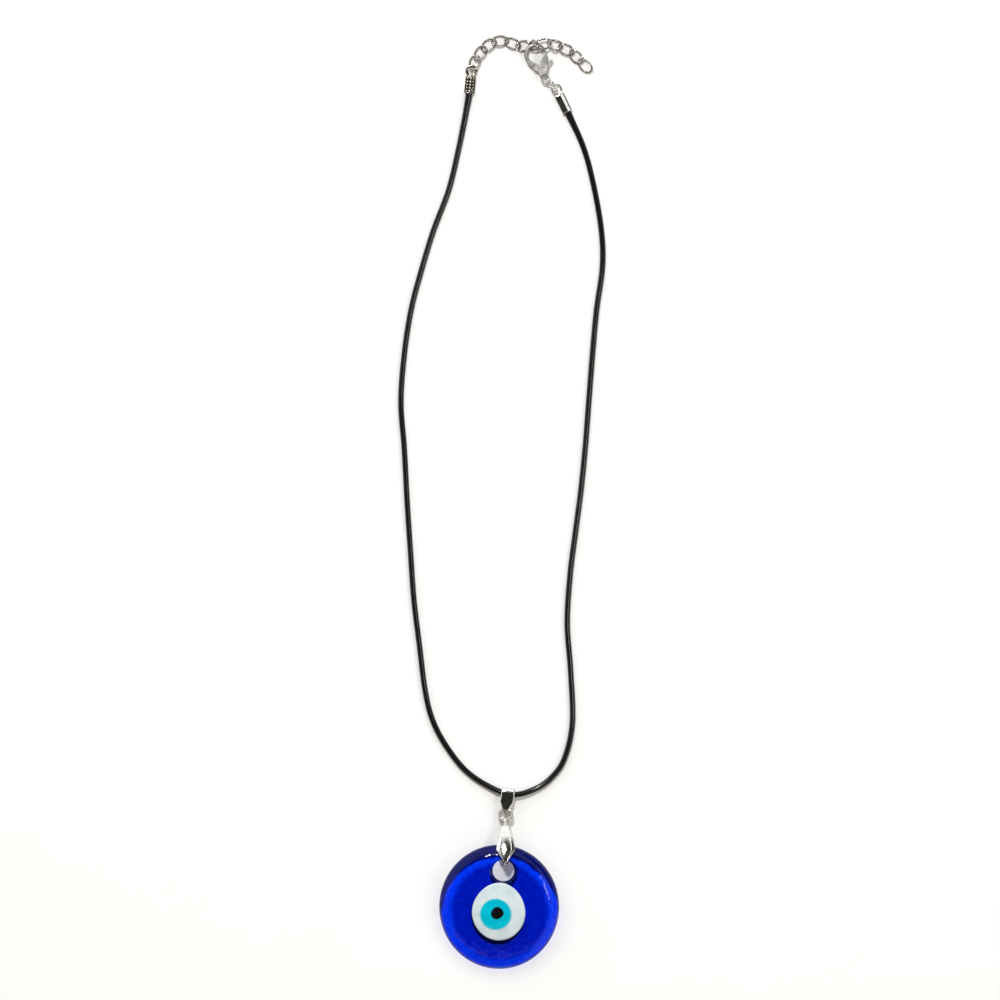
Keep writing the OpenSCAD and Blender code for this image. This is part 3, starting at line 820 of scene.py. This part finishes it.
def add_bail(material, ring_material):
    add_band(material)
    hinge = JOINTS["jaw_open"]
    front = turned(hinge, 0, FRONT_JAW_TURN)
    rear = turned(hinge) @ Matrix.Rotation(math.pi, 4, "Y")
    add_jaw("front_jaw_shield", "front_jaw", "jaw_front", front, FRONT_PEG, material, ring_material)
    add_jaw("rear_jaw_shield", "rear_jaw", "jaw_rear", rear, REAR_PEG, material, ring_material)


# ---------- cord ends ----------

LEFT_MOUTH, RIGHT_MOUTH = Vector((-14.0, 119.3, 0)), Vector((14.8, 113.8, 0))
LEFT_TURN, RIGHT_TURN = -6.1, 26.1
SLEEVE_HALF_W, SLEEVE_HALF_H = 1.55, 1.25
BEAD_COLUMN, BEAD_ROW, BEAD_DEPTH = 0.98, 0.92, 0.34
BEADS_START, BEADS_END = 0.15, 4.75
FOLD_X, FOLD_SLOPE, FOLD_END = 0.25, 0.55, 5.6


def crimp_parts(length, eye_y, eye_d, hole_d, eye_z, squareness):
    """Sleeve, eye plate and neck of a crimped cord end, in its own millimetres, mouth at y = 0."""
    sleeve = []
    for y, f in ((0.0, 0.94), (0.12, 1.0), (length - 0.5, 1.0), (length - 0.12, 0.93), (length, 0.8)):
        sleeve += [(x * f, y, SLEEVE_HALF_H + z * f)
                   for x, z in soft_box(SLEEVE_HALF_W, SLEEVE_HALF_H, squareness)]
    bar = (eye_d - hole_d) / 4
    eye = moved(turned_ring((eye_d + hole_d) / 4, soft_box(bar, 0.3, 3.0, 20)), (0, eye_y, eye_z))
    neck = []
    for y, w, z, h in ((length - 0.6, 1.2, SLEEVE_HALF_H, 0.9),
                       (length + 0.05, 0.95, (SLEEVE_HALF_H + eye_z) / 2, 0.5),
                       (eye_y - hole_d / 2 - 0.05, 0.7, eye_z, 0.28)):
        neck += [(x, y, z + s) for x, s in soft_box(w, h, 3.0)]
    return [(sleeve, wrap(5, 40)), eye, (neck, wrap(3, 40))]


def dimpled(p):
    """The left end's sleeve carries rows of small beads, pressed by the crimping tool."""
    x, y, z = p
    height = z - SLEEVE_HALF_H
    share = clamp((abs(height) - 0.75) / 0.3) * clamp((BEADS_END - y) / 0.3) * clamp(y / 0.25)
    column = abs(math.sin(math.pi * (x / BEAD_COLUMN + 0.5)))
    row = abs(math.sin(math.pi * (y - BEADS_START) / BEAD_ROW))
    depth = BEAD_DEPTH * share * (1 - column ** 1.5 * row)
    return Vector((x, y, z - math.copysign(depth, height)))


def folded(p):
    """The right end is the smooth back, with a low ridge where its two facets meet."""
    x, y, z = p
    if z < SLEEVE_HALF_H or y > FOLD_END:
        return p
    fall = FOLD_SLOPE * max(0.0, x - FOLD_X)
    return Vector((x, y, z - fall * min(1.0, (z - SLEEVE_HALF_H) / 0.8)))


def add_cord_ends(beaded, material):
    left = melt("left_crimp", crimp_parts(5.0, 6.55, 3.7, 1.8, 1.5, 3.6),
                turned(LEFT_MOUTH, LEFT_TURN), 0.06, 4, dimpled)
    right = melt("right_crimp", crimp_parts(5.9, 7.35, 3.3, 2.2, 2.1, 9.0),
                 turned(RIGHT_MOUTH, RIGHT_TURN), 0.06, 4, folded)
    finish_piece(left, "cord_set", "bright_plate", beaded, "cord_end_left")
    finish_piece(right, "cord_set", "bright_plate", material, "cord_end_right")
    return [left, right]


# ---------- clasp ----------

def domed(p):
    """A cast clasp is fullest along its middle and thinner towards its edges."""
    x, y, z = p
    crown = 1 - 0.24 * min(1.0, abs(x) / 3.3) ** 1.6 * clamp((y - 1.0) / 3.0)
    return Vector((x, y, z * crown))


def add_clasp(satin, spring):
    """The casting and its gate, melted from the CAD shapes. The pin and the spring stay as they are."""
    origin = JOINTS["clasp_turn"]
    place = turned(origin, direction_deg(origin, MOUNTS["clasp_hook"]))
    body = melt("clasp_casting", [node_part("clasp_body", place)], place, 0.07, 5, domed)
    finish_piece(body, "clasp", "satin_plate", satin, "clasp_body")
    gate = melt("clasp_gate", [node_part("clasp_lever", place)], place, 0.06, 3, domed)
    finish_piece(gate, "gate", "satin_plate", satin, "clasp_lever")
    for node, material in (("clasp_pin", satin), ("clasp_spring", spring)):
        NODES[node].data.materials.clear()
        NODES[node].data.materials.append(material)


JUMP_D, JUMP_TURN, JUMP_LEAN = 4.7, -42, 68
JUMP_STEPS, JUMP_NOTCH = 120, 35
WIRE_D, WIRE_SIDES = 0.65, 14


def wire_loop(points, upward, notch_at):
    """A closed wire through points, with a fine butt joint at one step."""
    rings, count = [], len(points)
    for i, centre in enumerate(points):
        ahead = (points[(i + 1) % count] - points[i - 1]).normalized()
        side = ahead.cross(upward[i]).normalized()
        up = side.cross(ahead)
        size = WIRE_D / 2 * (0.8 if i == notch_at else 1.0)
        rings += [centre + size * (c * side + s * up) for c, s in round_section(1.0, WIRE_SIDES)]
    return rings, wrap(count, WIRE_SIDES, closed=True)


def add_jump_ring(material):
    low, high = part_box("jump_ring")
    place = turned((low + high) / 2 / MM, JUMP_TURN, JUMP_LEAN)
    middle = (JUMP_D - WIRE_D) / 2
    circle = []
    for i in range(JUMP_STEPS):
        a = 2 * math.pi * i / JUMP_STEPS
        circle.append(Vector((middle * math.cos(a), middle * math.sin(a), 0)))
    points, faces = wire_loop(circle, [Vector((0, 0, 1))] * JUMP_STEPS, JUMP_NOTCH)
    piece = make("jump_ring_wire", points, faces, place)
    finish_piece(piece, "ring", "bright_plate", material, "jump_ring")


# ---------- chain ----------

LINK_L, LINK_W, LINK_TWIST, SQUARENESS = 5.4, 3.6, 40, 2.4
LINK_ROLL = [-24, -17, -3, -1, -7, 6, 1, -16, -17, -5, -3, -12]
LINK_STEPS = 72


def link_frame(a):
    """The point and the upward direction of a twisted link's middle line at an angle."""
    power = 2 / SQUARENESS
    c, s = math.cos(a), math.sin(a)
    along = math.copysign(abs(c) ** power, c)
    across = (LINK_W - WIRE_D) / 2 * math.copysign(abs(s) ** power, s)
    roll = math.radians(LINK_TWIST * along)
    point = Vector(((LINK_L - WIRE_D) / 2 * along, across * math.cos(roll), across * math.sin(roll)))
    return point, Vector((0, -math.sin(roll), math.cos(roll)))


def link_place(start, end, roll):
    """A place midway between a link's two pivots, along the line between them, rolled about it."""
    span = end - start
    place = Matrix.Translation((start + end) / 2 * MM) @ Matrix.Rotation(math.atan2(span.y, span.x), 4, "Z")
    place = place @ Matrix.Rotation(-math.asin(span.z / span.length), 4, "Y")
    return place @ Matrix.Rotation(math.radians(roll), 4, "X")


def add_chain(material):
    """The links, each between its own pivot and the next, with their butt joints in different places."""
    stops = [JOINTS[f"link_{n}_turn"] for n in range(1, 13)]
    stops.append(2 * MOUNTS["end_link"] - stops[-1])
    frames = [link_frame(2 * math.pi * (i + 0.5) / LINK_STEPS) for i in range(LINK_STEPS)]
    middle_line, upward = zip(*frames)
    for n, (start, end, roll) in enumerate(zip(stops, stops[1:], LINK_ROLL), 1):
        points, faces = wire_loop(middle_line, upward, (17 + 5 * n) % 30)
        piece = make(f"link_{n}_wire", points, faces, link_place(start, end, roll))
        finish_piece(piece, f"chain_{n}", "chain_plate", material, f"link_{n}")


# ---------- the whole ----------

add_camera()
cord, cord_path, cord_length = add_cord(braided_cord())
add_studio()
bright = plated_metal("bright_nickel", (0.80, 0.79, 0.76), (0.62, 0.60, 0.55), (0.04, 0.12))
# The clasp's satin nickel is painted darker than the metal's own colour: painted shade for its darker look
satin = plated_metal("satin_nickel", (0.28, 0.272, 0.26), (0.21, 0.203, 0.19), (0.32, 0.42), 4.0, 0.005)
# The chain's nickel is painted darker than the bright plate: shade standing in for the dark room that it reflects
chain = plated_metal("chain_nickel", (0.46, 0.435, 0.41), (0.24, 0.215, 0.20), (0.06, 0.16))
# The jaws' rings: a darker copy of the bright plate, painted shade standing in for their dark reflections, with
# faint wear
worn = plated_metal("worn_and_shaded_nickel", (0.62, 0.60, 0.56), (0.26, 0.24, 0.20), (0.05, 0.14))
spring = plated_metal("spring_wire", (0.5, 0.5, 0.51), (0.35, 0.34, 0.33), (0.15, 0.3))
add_pendant()
add_bail(bright, worn)
ends = add_cord_ends(beaded_metal(), bright)
add_clasp(satin, spring)
add_jump_ring(bright)
add_chain(chain)
